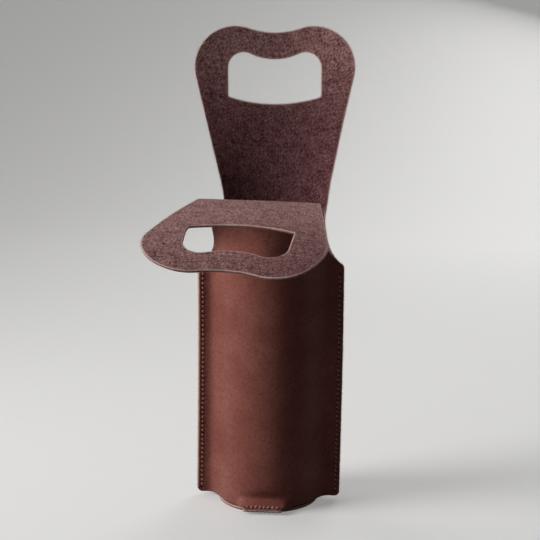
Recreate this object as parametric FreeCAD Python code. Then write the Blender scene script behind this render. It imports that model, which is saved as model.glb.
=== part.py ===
import FreeCAD, Part
import math
import os

# Leather bottle carrier: two matching panels sewn along flat side flanges round one bottle,
# a sewn-in base disc, and a hand hole in the tall handle end of each panel.
# Millimetres. +Z up, +X right seen from the front, the front faces -Y,
# origin on the floor under the middle of the base disc.

V = FreeCAD.Vector

# Leather and the bottle it is cut for
leather_thickness = 2.2
bottle_diameter = 76.0
bottle_slack = 1.5
glue_line = 0.2

# Body: side flanges, shoulder and neck
flange_width = 7.5
flange_reach = 12.4
flange_bend_radius = 10.0
flange_corner_radius = 3.5
seam_height = 202.0
shoulder_radius = 38.0
neck_width = 87.0
neck_length = 4.0
neck_twist = 5.0
panel_lift = 0.5
cutting_allowance = 3.0

# Handle end of each panel
carrier_height = 397.5
handle_width = 134.0
handle_lobe_radius = 34.0
handle_dip = 5.5
flare_radius = 150.0
flare_share = 0.9
grip_width = 21.7
hole_width = 78.0
hole_height = 36.8
hole_lobe_radius = 13.0
hole_dip = 6.0
hole_sag = 6.5
hole_corner_radius = 3.0

# Folds: the front handle lies folded forward, the back one stands
fold_radius = 25.0
fold_angle = 108.0
fold_further = 30.0
lean_in = 16.0
fold_clearance = 0.3
fold_spare = 3.0

# Base disc and the tabs that sew it to the panels
base_margin = 0.3
tab_width = 31.0
tab_reach = 6.5
tab_bend_radius = 4.0
tab_corner_radius = 2.0
tab_slit = 0.8

# Sewing
stitch_pitch = 4.0
tab_stitch_pitch = 3.5
tab_stitch_count = 8
stitch_margin = 4.4
tab_stitch_margin = 2.2
seam_end_margin = 4.5
thread_thickness = 0.8
thread_leg = 0.6
thread_gap = 0.3
thread_seat = 0.05
slit_clearance = 0.2

# Sizes that follow from those above
half_thickness = leather_thickness / 2
wall_radius = bottle_diameter / 2 + bottle_slack + half_thickness
flange_root = wall_radius + flange_reach
flange_edge = flange_root + flange_width
uncut_edge = flange_edge + cutting_allowance
flange_depth = glue_line / 2 + half_thickness
panel_bottom = leather_thickness + panel_lift
neck_half = neck_width / 2
shoulder_run = flange_edge - neck_half
shoulder_rise = math.sqrt(shoulder_radius**2 - (shoulder_radius - shoulder_run)**2)
neck_height = seam_height + shoulder_rise
fold_start = neck_height + neck_length
lobe_x = handle_width / 2 - handle_lobe_radius
lobe_z = carrier_height - handle_lobe_radius
hole_lobe_x = hole_width / 2 - hole_lobe_radius
hole_lobe_z = carrier_height - grip_width - hole_lobe_radius
hole_bottom = carrier_height - grip_width - hole_height
tab_front = wall_radius + half_thickness + tab_reach
far = 2 * carrier_height

# The flare of the side edge is no rounder than leaves a straight run between it and the lobe
flare_rise = lobe_z - fold_start
flare_in = neck_half - lobe_x
touching_flare = (flare_in**2 + flare_rise**2 - handle_lobe_radius**2) / (2 * (handle_lobe_radius - flare_in))
flare = min(flare_radius, flare_share * touching_flare)

# The front fold is an arc of leather. Its hinge line lies on the flesh side at the arc's middle,
# and raising the handle mirrors the upper half of the arc about that line.
fold_turn = math.radians(fold_angle)
hinge_radius = fold_radius + half_thickness + fold_clearance / 2
hinge_rise = hinge_radius * math.sin(fold_turn / 2)
raised_drop = fold_radius * fold_turn - 2 * hinge_rise
fold_middle = V(0, -wall_radius, fold_start)
level_hinge = fold_middle + V(0, hinge_radius * math.cos(fold_turn / 2) - fold_radius, hinge_rise)
front_turn = FreeCAD.Rotation(V(0, 0, 1), -neck_twist)
front_hinge = fold_middle + front_turn.multVec(level_hinge - fold_middle)
front_fold_axis = front_turn.multVec(V(1, 0, 0))
back_hinge = V(0, wall_radius + half_thickness + fold_clearance / 2, fold_start + fold_radius * fold_turn / 2)


def line(start, end):
    return Part.LineSegment(start, end).toShape()


def arc(start, middle, end):
    return Part.Arc(start, middle, end).toShape()


def polar(x, z, radius, angle):
    return V(x + radius * math.cos(angle), 0, z + radius * math.sin(angle))


def arc_about(x, z, radius, start, end):
    return arc(polar(x, z, radius, start), polar(x, z, radius, (start + end) / 2), polar(x, z, radius, end))


# Wall section: each panel is a flat flange, a bend, a straight run and an arc round the bottle

run_centre = V(flange_root, flange_depth + flange_bend_radius)
run_lean = math.atan2(run_centre.y, run_centre.x) + math.acos(
    (wall_radius + flange_bend_radius) / run_centre.Length
)
arc_end = wall_radius * math.cos(run_lean)
bend_end = run_centre.x - flange_bend_radius * math.cos(run_lean)


def wall_at(x):
    """Depth of the leather's middle in front of the seam plane, and its slope across the panel."""
    across = abs(x)
    if across <= arc_end:
        depth = math.sqrt(wall_radius**2 - across**2)
        slope = -across / depth
    elif across <= bend_end:
        slope = -1 / math.tan(run_lean)
        depth = wall_radius * math.sin(run_lean) + slope * (across - arc_end)
    elif across < flange_root:
        drop = math.sqrt(flange_bend_radius**2 - (across - run_centre.x)**2)
        depth = run_centre.y - drop
        slope = (across - run_centre.x) / drop
    else:
        depth = flange_depth
        slope = 0.0
    return depth, math.copysign(slope, -x) if x else 0.0


def section_edge(x_start, x_end, side, height, flatness, twist):
    """One stretch of a panel's face in section: side 1 is the grain face, -1 the flesh face."""
    steps = 6
    flat_slope = math.tan(math.radians(twist))
    points = []
    for step in range(steps + 1):
        x = x_start + (x_end - x_start) * step / steps
        depth, slope = wall_at(x)
        depth += (wall_radius + flat_slope * x - depth) * flatness
        slope += (flat_slope - slope) * flatness
        reach = side * half_thickness / math.hypot(1, slope)
        points.append(V(x - reach * slope, -depth - reach, height))
    stretch = tuple(sorted((abs(x_start), abs(x_end))))
    is_straight = stretch in ((arc_end, bend_end), (flange_root, uncut_edge))
    if flatness == 1 or is_straight:
        return line(points[0], points[-1])
    if flatness == 0:
        return arc(points[0], points[steps // 2], points[-1])
    curve = Part.BSplineCurve()
    curve.interpolate(points)
    return curve.toShape()


def panel_section(height, flatness, twist):
    """Closed section of a panel at one height, from the sewn body (0) to the flat, turned neck (1)."""
    stations = [uncut_edge, flange_root, bend_end, arc_end]
    stations += [-x for x in reversed(stations)]
    pairs = list(zip(stations, stations[1:]))
    grain = [section_edge(a, b, 1, height, flatness, twist) for a, b in pairs]
    flesh = [section_edge(b, a, -1, height, flatness, twist) for a, b in reversed(pairs)]
    left_edge = line(grain[-1].lastVertex().Point, flesh[0].firstVertex().Point)
    right_edge = line(flesh[-1].lastVertex().Point, grain[0].firstVertex().Point)
    return Part.Wire(grain + [left_edge] + flesh + [right_edge])


def ease(share):
    share = min(max(share, 0.0), 1.0)
    return share**3 * (share * (6 * share - 15) + 10)


def panel_band(twist):
    """Front wall from the base to the start of the fold, wider than the neck until it is cut out."""
    ease_height = fold_start - seam_height
    plain_top = seam_height - ease_height / 2
    uncut_bottom = panel_bottom - cutting_allowance
    body = Part.Face(panel_section(uncut_bottom, 0, twist)).extrude(V(0, 0, plain_top - uncut_bottom))
    sections = []
    steps = 8
    for step in range(-steps // 2, steps + 1):
        share = step / steps
        sections.append(panel_section(seam_height + ease_height * share, ease(share), twist))
    return body.fuse(Part.makeLoft(sections, True, False))


# Cutting pattern of one panel, seen from the front

def flare_angle():
    """Lean of the straight side edge that joins the neck's curve to the handle's lobe."""
    low, high = 0.01, 1.4
    for _ in range(60):
        lean = (low + high) / 2
        from_x = neck_half + flare * (1 - math.cos(lean))
        from_z = fold_start + flare * math.sin(lean)
        to_x = lobe_x + handle_lobe_radius * math.cos(lean)
        to_z = lobe_z - handle_lobe_radius * math.sin(lean)
        if (to_x - from_x) * math.cos(lean) > (to_z - from_z) * math.sin(lean):
            low = lean
        else:
            high = lean
    return lean


def lobe_dip(lobe_centre_x, lobe_centre_z, lobe_radius, dip):
    """Centre height, radius and half angle of the hollow between two lobes."""
    rise = lobe_radius - dip
    radius = (lobe_centre_x**2 + rise**2 - lobe_radius**2) / (2 * dip)
    centre_z = lobe_centre_z + rise + radius
    return centre_z, radius, math.atan2(lobe_centre_x, centre_z - lobe_centre_z)


def both_sides(right_edges):
    """A closed outline from its right half, listed from the bottom middle to the top middle."""
    left_edges = [edge.mirror(V(0, 0, 0), V(1, 0, 0)) for edge in right_edges]
    return Part.Wire(Part.__sortEdges__(right_edges + left_edges))


def pattern_outline():
    lean = flare_angle()
    dip_z, dip_radius, dip_half = lobe_dip(lobe_x, lobe_z, handle_lobe_radius, handle_dip)
    flare_x = neck_half + flare
    flare_end = polar(flare_x, fold_start, flare, math.pi - lean)
    lobe_start = polar(lobe_x, lobe_z, handle_lobe_radius, -lean)
    shoulder_x = neck_half + shoulder_radius
    shoulder_turn = math.asin(shoulder_rise / shoulder_radius)
    corner = flange_corner_radius
    return both_sides([
        line(V(0, 0, panel_bottom), V(flange_edge - corner, 0, panel_bottom)),
        arc_about(flange_edge - corner, panel_bottom + corner, corner, -math.pi / 2, 0),
        line(V(flange_edge, 0, panel_bottom + corner), V(flange_edge, 0, seam_height)),
        arc_about(shoulder_x, neck_height, shoulder_radius, math.pi + shoulder_turn, math.pi),
        line(V(neck_half, 0, neck_height), V(neck_half, 0, fold_start)),
        arc_about(flare_x, fold_start, flare, math.pi, math.pi - lean),
        line(flare_end, lobe_start),
        arc_about(lobe_x, lobe_z, handle_lobe_radius, -lean, math.pi / 2 + dip_half),
        arc_about(0, dip_z, dip_radius, dip_half - math.pi / 2, -math.pi / 2),
    ])


def hole_outline():
    dip_z, dip_radius, dip_half = lobe_dip(hole_lobe_x, hole_lobe_z, hole_lobe_radius, hole_dip)
    half = hole_width / 2
    sag_radius = (half**2 + hole_sag**2) / (2 * hole_sag)
    sag_half = math.asin(half / sag_radius)
    sag_z = hole_bottom - hole_sag + sag_radius
    return both_sides([
        arc_about(0, sag_z, sag_radius, -math.pi / 2, sag_half - math.pi / 2),
        line(V(half, 0, hole_bottom), V(half, 0, hole_lobe_z)),
        arc_about(hole_lobe_x, hole_lobe_z, hole_lobe_radius, 0, math.pi / 2 + dip_half),
        arc_about(0, dip_z, dip_radius, dip_half - math.pi / 2, -math.pi / 2),
    ])


def through_cut(outline):
    """The outline run straight through the leather, front to back."""
    face = Part.Face(outline)
    face.translate(V(0, -far, 0))
    return face.extrude(V(0, 2 * far, 0))


def round_upright_corners(solid, radius, chosen):
    """Round the short front-to-back edges that the test picks out."""
    edges = [edge for edge in solid.Edges if chosen(edge)]
    return solid.makeFillet(radius, edges)


def runs_through(edge, x, z):
    ends = [vertex.Point for vertex in edge.Vertexes]
    return len(ends) == 2 and all(math.hypot(abs(p.x) - x, p.z - z) < 0.01 for p in ends)


def pattern_cut():
    solid = through_cut(pattern_outline())
    return round_upright_corners(
        solid, flange_corner_radius, lambda edge: runs_through(edge, flange_edge, seam_height)
    )


def hole_cut():
    solid = through_cut(hole_outline())
    return round_upright_corners(
        solid, hole_corner_radius, lambda edge: runs_through(edge, hole_width / 2, hole_bottom)
    )


# Fold: leather strips that meet at the hinge line with a small vee so that they can turn

def strip(profile_edges):
    """A strip wider than the handle from its profile, drawn in the plane of symmetry."""
    face = Part.Face(Part.Wire(Part.__sortEdges__(profile_edges)))
    face.translate(V(-handle_width, 0, 0))
    return face.extrude(V(2 * handle_width, 0, 0))


def fold_arc_strip():
    """Lower half of the front fold, from the flat neck to the hinge line."""
    centre_y = -(wall_radius + fold_radius)

    def at(radius, turn):
        return V(0, centre_y + radius * math.cos(turn), fold_start + radius * math.sin(turn))

    flesh = fold_radius + half_thickness
    grain = fold_radius - half_thickness
    half = fold_turn / 2
    return strip([
        arc(at(flesh, 0), at(flesh, half / 2), at(flesh, half)),
        line(at(flesh, half), at(grain, half)),
        arc(at(grain, half), at(grain, half / 2), at(grain, 0)),
        line(at(grain, 0), at(flesh, 0)),
    ])


def flat_strip(bottom, top):
    """A flat strip of the front panel's leather between two heights."""
    near = -wall_radius - half_thickness
    back = -wall_radius + half_thickness
    corners = [V(0, near, bottom), V(0, near, top), V(0, back, top), V(0, back, bottom)]
    return strip([line(a, b) for a, b in zip(corners, corners[1:] + corners[:1])])


def hinge_vee(open_angle, hinge, lean):
    """Wedge cut from both sides of a hinge line: narrow at the hinge, open on the far face."""
    half = fold_clearance / 2
    depth = leather_thickness + 2 * fold_clearance
    spread = half + depth * math.tan(math.radians(open_angle + fold_spare) / 2)
    corners = [V(0, half, -half), V(0, half, half), V(0, -depth, spread), V(0, -depth, -spread)]
    wedge = strip([line(a, b) for a, b in zip(corners, corners[1:] + corners[:1])])
    wedge.rotate(V(0, 0, 0), V(1, 0, 0), lean)
    wedge.translate(hinge)
    return wedge


def turned(solid):
    """Turn a piece of the front fold, built square, to face the way the twisted neck does."""
    solid.rotate(fold_middle, V(0, 0, 1), -neck_twist)
    return solid


# Base disc, and the tab at the foot of each panel that flares out over the disc's own tab

tab_bend_z = 1.5 * leather_thickness + tab_bend_radius


def tab_block(bottom, top):
    """Round-cornered block of the front tab's outline between two heights."""
    half = tab_width / 2
    block = Part.makeBox(tab_width, tab_front, top - bottom, V(-half, -tab_front, bottom))
    corners = [
        edge for edge in block.Edges
        if all(abs(vertex.Point.y + tab_front) < 0.01 for vertex in edge.Vertexes)
        and abs(edge.tangentAt(edge.FirstParameter).z) > 0.5
    ]
    return block.makeFillet(tab_corner_radius, corners)


def tab_flare():
    """Foot of the front panel turned outwards through a bend to lie on the base tab."""
    bend_y = -(wall_radius + tab_bend_radius)
    lip_y = bend_y - tab_width

    def at(radius, turn):
        return V(0, bend_y + radius * math.cos(turn), tab_bend_z - radius * math.sin(turn))

    outer = tab_bend_radius + half_thickness
    inner = tab_bend_radius - half_thickness
    quarter = math.pi / 2
    edges = [
        arc(at(outer, 0), at(outer, quarter / 2), at(outer, quarter)),
        line(at(outer, quarter), V(0, lip_y, leather_thickness)),
        line(V(0, lip_y, leather_thickness), V(0, lip_y, 2 * leather_thickness)),
        line(V(0, lip_y, 2 * leather_thickness), at(inner, quarter)),
        arc(at(inner, quarter), at(inner, quarter / 2), at(inner, 0)),
        line(at(inner, 0), at(outer, 0)),
    ]
    sweep = 4 * math.degrees(math.asin(tab_width / 2 / wall_radius))
    face = Part.Face(Part.Wire(edges))
    face.rotate(V(0, 0, 0), V(0, 0, 1), -sweep / 2)
    flare = face.revolve(V(0, 0, 0), V(0, 0, 1), sweep)
    return flare.common(tab_block(0, tab_bend_z + tab_width))


def tab_notch():
    """Gap in the wall above the tab, a slit wider than the tab on each side."""
    half = tab_width / 2 + tab_slit
    return Part.makeBox(2 * half, wall_radius, tab_bend_z, V(-half, -1.5 * wall_radius, 0))


def mirrored_front_to_back(shape):
    return shape.mirror(V(0, 0, 0), V(0, 1, 0))


# Sewing: every stitch is a staple of thread whose legs go down two neighbouring slits

slit_length = 2 * thread_leg + thread_gap + 2 * slit_clearance
slit_width = thread_thickness + 2 * slit_clearance
groove_depth = thread_thickness + thread_seat + slit_clearance
seam_x = flange_edge - stitch_margin
seam_bottom = panel_bottom + seam_end_margin
seam_stitches = int((seam_height - seam_end_margin - seam_bottom) / stitch_pitch)
tab_seam_y = -(tab_front - tab_stitch_margin)
tab_seam_half = tab_stitch_count * tab_stitch_pitch / 2


def stitch(middle, along, outward, pitch, leg_depth):
    """One stitch: a crowned bar on the leather with a leg at each end."""
    half = (pitch - thread_gap) / 2
    inner = half - thread_leg
    end_height = thread_thickness / 2
    crown = thread_seat + thread_thickness

    def at(run, height):
        return middle + along * run + outward * height

    corners = [
        (half, end_height), (half, -leg_depth), (inner, -leg_depth), (inner, thread_seat),
        (-inner, thread_seat), (-inner, -leg_depth), (-half, -leg_depth), (-half, end_height),
    ]
    edges = [line(at(*a), at(*b)) for a, b in zip(corners, corners[1:])]
    edges.append(arc(at(-half, end_height), at(0, crown), at(half, end_height)))
    face = Part.Face(Part.Wire(edges))
    sideways = along.cross(outward)
    face.translate(sideways * (-thread_thickness / 2))
    return face.extrude(sideways * thread_thickness)


def stitch_row(start, along, outward, pitch, count, leg_depth):
    middles = [start + along * (pitch * (index + 0.5)) for index in range(count)]
    return Part.makeCompound([stitch(middle, along, outward, pitch, leg_depth) for middle in middles])


def side_slits(side):
    """Needle slits through both flanges of one side seam."""
    reach = 2 * leather_thickness
    size = V(slit_width, 2 * reach, slit_length)
    slits = []
    for index in range(seam_stitches + 1):
        middle = V(side * seam_x, 0, seam_bottom + index * stitch_pitch)
        slits.append(Part.makeBox(size.x, size.y, size.z, middle - size * 0.5))
    return Part.makeCompound(slits)


def tab_slits():
    """Needle slits through the front tab of the panel and of the base."""
    size = V(slit_length, slit_width, 6 * leather_thickness)
    slits = []
    for index in range(tab_stitch_count + 1):
        middle = V(index * tab_stitch_pitch - tab_seam_half, tab_seam_y, 0)
        slits.append(Part.makeBox(size.x, size.y, size.z, middle - size * 0.5))
    return Part.makeCompound(slits)


def tab_groove():
    """Groove under the base's front tab that keeps its stitches off the floor."""
    half = tab_seam_half + slit_length / 2
    corner = V(-half, tab_seam_y - slit_width / 2, 0)
    return Part.makeBox(2 * half, slit_width, groove_depth, corner)


# Pieces

def panel(top_strip, twist):
    """One panel up to its hinge line, in the front's place."""
    outline = pattern_cut()
    wall = panel_band(twist).common(outline).fuse(top_strip.common(outline))
    wall = wall.cut(tab_notch()).fuse(tab_flare())
    return wall.cut([side_slits(1), side_slits(-1), tab_slits()])


def front_panel():
    wall = panel(turned(fold_arc_strip()), neck_twist)
    return wall.cut(turned(hinge_vee(fold_further, level_hinge, fold_angle / 2)))


def front_handle():
    """Built square and raised, then turned with the neck and folded forward."""
    arc_strip = fold_arc_strip().mirror(level_hinge, V(0, 0, 1))
    leather = arc_strip.fuse(flat_strip(2 * level_hinge.z - fold_start, far))
    outline, hole = pattern_cut(), hole_cut()
    for cutter in (outline, hole):
        cutter.translate(V(0, 0, -raised_drop))
    vee = hinge_vee(fold_further, level_hinge, -fold_angle / 2)
    handle = turned(leather.common(outline).cut([hole, vee]))
    handle.rotate(front_hinge, front_fold_axis, fold_angle)
    return handle


def back_panel():
    wall = mirrored_front_to_back(panel(flat_strip(fold_start, back_hinge.z), 0))
    return wall.cut(hinge_vee(lean_in, back_hinge, 0))


def back_handle():
    plate = flat_strip(back_hinge.z, far).common(pattern_cut()).cut(hole_cut())
    return mirrored_front_to_back(plate).cut(hinge_vee(lean_in, back_hinge, 0))


def base_disc():
    disc = Part.makeCylinder(wall_radius + half_thickness + base_margin, leather_thickness)
    tab = tab_block(0, leather_thickness)
    cuts = [tab_slits(), tab_groove()]
    disc = disc.fuse([tab, mirrored_front_to_back(tab)])
    return disc.cut(cuts + [mirrored_front_to_back(cut) for cut in cuts]).removeSplitter()


def side_seam(side, facing):
    """Thread of one side seam on its front (facing -1) or back (facing 1) face."""
    face_y = facing * (glue_line / 2 + leather_thickness)
    start = V(side * seam_x, face_y, seam_bottom)
    return stitch_row(start, V(0, 0, 1), V(0, facing, 0), stitch_pitch, seam_stitches, leather_thickness)


def tab_needle_seam():
    start = V(-tab_seam_half, tab_seam_y, 2 * leather_thickness)
    return stitch_row(start, V(1, 0, 0), V(0, 0, 1), tab_stitch_pitch, tab_stitch_count, leather_thickness)


def tab_bobbin_seam():
    start = V(-tab_seam_half, tab_seam_y, groove_depth)
    leg_depth = leather_thickness - groove_depth
    return stitch_row(start, V(1, 0, 0), V(0, 0, -1), tab_stitch_pitch, tab_stitch_count, leg_depth)


nodes = {
    "front_panel": front_panel(),
    "front_handle": front_handle(),
    "back_panel": back_panel(),
    "back_handle": back_handle(),
    "base_disc": base_disc(),
    "left_seam_needle_thread": side_seam(-1, -1),
    "left_seam_bobbin_thread": side_seam(-1, 1),
    "right_seam_needle_thread": side_seam(1, -1),
    "right_seam_bobbin_thread": side_seam(1, 1),
    "front_tab_needle_thread": tab_needle_seam(),
    "front_tab_bobbin_thread": tab_bobbin_seam(),
    "back_tab_needle_thread": mirrored_front_to_back(tab_needle_seam()),
    "back_tab_bobbin_thread": mirrored_front_to_back(tab_bobbin_seam()),
}

os.makedirs("parts", exist_ok=True)
for name, shape in nodes.items():
    shape.exportStep(f"parts/{name}.step")
    box = shape.BoundBox
    print(name, len(shape.Solids), shape.isValid(), round(shape.Volume, 1), len(shape.Faces),
          [round(v, 1) for v in (box.XMin, box.XMax, box.YMin, box.YMax, box.ZMin, box.ZMax)])
print("front hinge", front_hinge, front_fold_axis)
print("back hinge", back_hinge)
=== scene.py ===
import math
import random

import bmesh
import bpy
from mathutils import Matrix, Vector, kdtree, noise


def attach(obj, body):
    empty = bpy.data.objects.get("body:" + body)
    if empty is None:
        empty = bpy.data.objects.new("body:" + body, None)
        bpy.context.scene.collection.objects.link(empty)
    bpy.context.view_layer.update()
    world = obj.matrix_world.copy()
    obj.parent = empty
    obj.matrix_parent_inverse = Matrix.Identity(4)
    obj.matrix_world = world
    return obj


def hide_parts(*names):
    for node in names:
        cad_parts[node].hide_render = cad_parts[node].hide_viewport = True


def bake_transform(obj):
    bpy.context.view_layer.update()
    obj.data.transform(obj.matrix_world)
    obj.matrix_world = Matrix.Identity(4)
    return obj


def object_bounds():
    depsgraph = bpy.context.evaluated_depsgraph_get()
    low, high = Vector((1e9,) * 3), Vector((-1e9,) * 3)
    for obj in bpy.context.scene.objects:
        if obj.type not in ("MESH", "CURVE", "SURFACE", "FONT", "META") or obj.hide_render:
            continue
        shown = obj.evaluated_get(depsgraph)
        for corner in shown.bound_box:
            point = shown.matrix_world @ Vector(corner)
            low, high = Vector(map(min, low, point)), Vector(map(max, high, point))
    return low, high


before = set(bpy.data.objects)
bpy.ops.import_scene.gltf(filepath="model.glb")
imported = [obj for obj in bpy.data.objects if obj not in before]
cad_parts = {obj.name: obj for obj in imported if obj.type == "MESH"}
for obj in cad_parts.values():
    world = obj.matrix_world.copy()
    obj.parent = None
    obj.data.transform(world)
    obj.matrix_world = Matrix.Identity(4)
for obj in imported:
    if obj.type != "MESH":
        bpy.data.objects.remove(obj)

# Leather bottle carrier. Lengths are millimetres of leather; each finished mesh is scaled to metres.
cadLow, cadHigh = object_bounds()
toMetres = 0.001
noise.seed_set(7)  # the same ragged cuts each run
print("frame loaded with", len(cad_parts), "nodes")

hide = {  # one panel's cut, laid flat
    "thickness": 2.2,
    "wallRadius": 40.6,  # middle of the leather where it wraps round
    "flangeRoot": 53.0,
    "flangeEdge": 60.5,
    "flangeDepth": 1.2,
    "flangeBend": 10.0,
    "flangeCorner": 3.5,
    "bottom": 2.7,
    "seamHeight": 202.0,
    "shoulderRadius": 38.0,
    "neckHalf": 43.5,
    "neckLength": 4.0,
    "flareRadius": 150.0,
    "top": 397.5,
    "lobeX": 33.0,
    "lobeRadius": 34.0,
    "dip": 5.5,
    "gripWidth": 21.7,
    "holeHalf": 39.0,
    "holeHeight": 36.8,
    "holeLobe": 13.0,
    "holeDip": 6.0,
    "holeSag": 6.5,
    "holeCorner": 1.7,
    "tongueHalf": 15.9,
    "tongueTop": 11.6,  # height where the foot of the wall starts to turn out
    "tongueBend": 6.5,
    "tongueTurn": math.radians(78),  # it stops short of lying flat
    "tongueReach": 47.6,
    "tongueCorner": 1.1,
    "tongueRoot": 2.0,
    "tongueFade": 8.0,
    "skive": 0.24,  # share pared off where it is sewn to the base
    "skiveOver": 7.0,
    "stayRound": 14.0,  # how much later the middle flattens than the shoulders
    "roundHalf": 50.0,
    "turnedBy": 1.0,  # the neck is turned this far below the start of the fold
    "flatBy": 14.0,  # the neck is flat this far past the start of the fold
    "sway": 2.6,  # the body leans a little to the right on its base
    "flangeTurn": 0.22,  # the left flange turns a little forward
    "turnSoft": 2.0,
    "turnEnd": 12.0,  # and straightens from this far below the top of the seam
    "turnFade": 35.0,
}

cutting = {  # how a flat cut is meshed
    "arcPitch": 2.4,
    "roundIn": (0.35, 0.6),  # width of the rounded rim, in two steps
    "grainDrop": (0.55, 0.13),  # how far the rim falls back on the grain side
    "fleshDrop": (0.32, 0.06),
    "cell": 2.2,
    "stitchCell": 1.0,
    "tongueCell": 0.8,
    "startBelow": 12.0,
    "seamLines": (-2.2, -1.5, -1.0, -0.6, -0.3, 0, 0.3, 0.6, 1.0, 1.5, 2.2),  # close lines along the seam
    "seamClear": 2.4,
    "cornerSteps": 5,
    "snap": 0.03,
    "merge": 0.02,
    "ragged": 0.1,
    "raggedScale": 0.9,
    "cutFacing": 0.45,  # how squarely a face looks sideways, and how deep it lies, to be a cut edge
    "cutDepth": 0.2,
}

sewing = {
    "seamX": 57.2,
    "seamBottom": 7.2,
    "pitch": 4.0,
    "count": 47,
    "tabPitch": 3.5,
    "tabCount": 8,
    "tabMargin": 1.9,
    "seamBold": 1.15,
    "tabBold": 1.5,  # a heavier thread and longer stitches where the tabs are sewn
    "tabStretch": 1.18,
    "threadRadius": 0.58,
    "crown": 0.34,
    "bury": 1.1,
    "slant": 0.36,
    "gap": 0.8,
    "dimple": 0.85,
    "dimpleRadius": 1.12,
    "furrow": 0.2,
    "furrowRadius": 1.4,
    "near": 4.0,
    "past": 3.0,
    "tabPast": 1.0,
    "grainSide": 0.2,  # needle holes show from this far above the middle of the leather
    "tabUnder": 0.25,
    "ringSides": 7,
    "archSteps": 7,
    "slantPlay": 0.04,
    "heightPlay": 0.05,
    "layStep": 3.7,  # no two stitches have the same ply
}

# How a panel is bent. Whatever it doesn't name stays flat.
flatBend = dict.fromkeys((
    "drift", "tilt", "tightTurn", "slackRadius", "leftCurl", "rightCurl", "leftSag", "neckCup", "leftCup",
    "rightCup", "droop", "leftStretch", "holeBow", "spareLeft", "flareLeft", "neckShade", "gripShade",
), 0.0)

# The front neck is turned a little to one side and folds in a tight bend, then sinks in a long slack one
frontBend = flatBend | {
    "twist": math.radians(3.0),
    "shift": -1.4,
    "tilt": math.radians(1.5),
    "tightRadius": 24.8,
    "tightTurn": math.radians(96.1),
    "slackRadius": 288.0,
    "leftCurl": -3.6,
    "rightCurl": -1.3,
    "leftSag": 1.5,
    "droop": 1.7,
    "leftStretch": 0.035,
    "holeBow": 1.8,  # the pull of the left lobe bows out that side of the hole
    "gripShade": 0.55,  # painted shade, darker at the right of the grip
    "seed": 3.1,
    "facing": Matrix.Identity(3),
}
backBend = flatBend | {
    "twist": math.radians(-5.0),
    "shift": 0.2,
    "drift": 1.5,  # the handle leans a little to one side
    "tightRadius": 24.8,
    "neckCup": -20.0,  # it keeps some of the round of the pocket, more at the neck than at the top
    "leftCup": -13.0,
    "rightCup": -3.5,
    "spareLeft": 1.7,  # its flange stands out past the front one on this side
    "flareLeft": 1.5,  # and bends away from it
    "neckShade": 0.75,  # painted shade, darker below the hand hole
    "seed": 8.7,
    "facing": Matrix.Rotation(math.pi, 3, "Z"),
}

neckHeight = hide["seamHeight"] + math.sqrt(
    hide["shoulderRadius"]**2 - (hide["shoulderRadius"] - hide["flangeEdge"] + hide["neckHalf"])**2
)
foldStart = neckHeight + hide["neckLength"]
halfThickness = hide["thickness"] / 2


def ease(share):
    share = min(max(share, 0.0), 1.0)
    return share**3 * (share * (6 * share - 15) + 10)


def bump(distance, radius):
    return math.exp(-(distance / radius)**2)


# Drawing a cut: one half outline in x and z, walked from its bottom middle

def drawLine(bm, tip, x, z):
    end = bmesh.ops.extrude_vert_indiv(bm, verts=[tip])["verts"][0]
    end.co = (x, 0, z)
    return end


def drawArc(bm, tip, x, z, sweep):
    radius = math.hypot(tip.co.x - x, tip.co.z - z)
    steps = max(2, round(abs(sweep) * radius / cutting["arcPitch"]))
    spun = bmesh.ops.spin(bm, geom=[tip], cent=(x, 0, z), axis=(0, -1, 0), angle=sweep, steps=steps)
    return next(part for part in spun["geom_last"] if isinstance(part, bmesh.types.BMVert))


def hollowBetweenLobes(lobeX, lobeZ, lobeRadius, dip):
    rise = lobeRadius - dip
    radius = (lobeX**2 + rise**2 - lobeRadius**2) / (2 * dip)
    centreZ = lobeZ + rise + radius
    return centreZ, radius, math.atan2(lobeX, centreZ - lobeZ)


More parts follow.
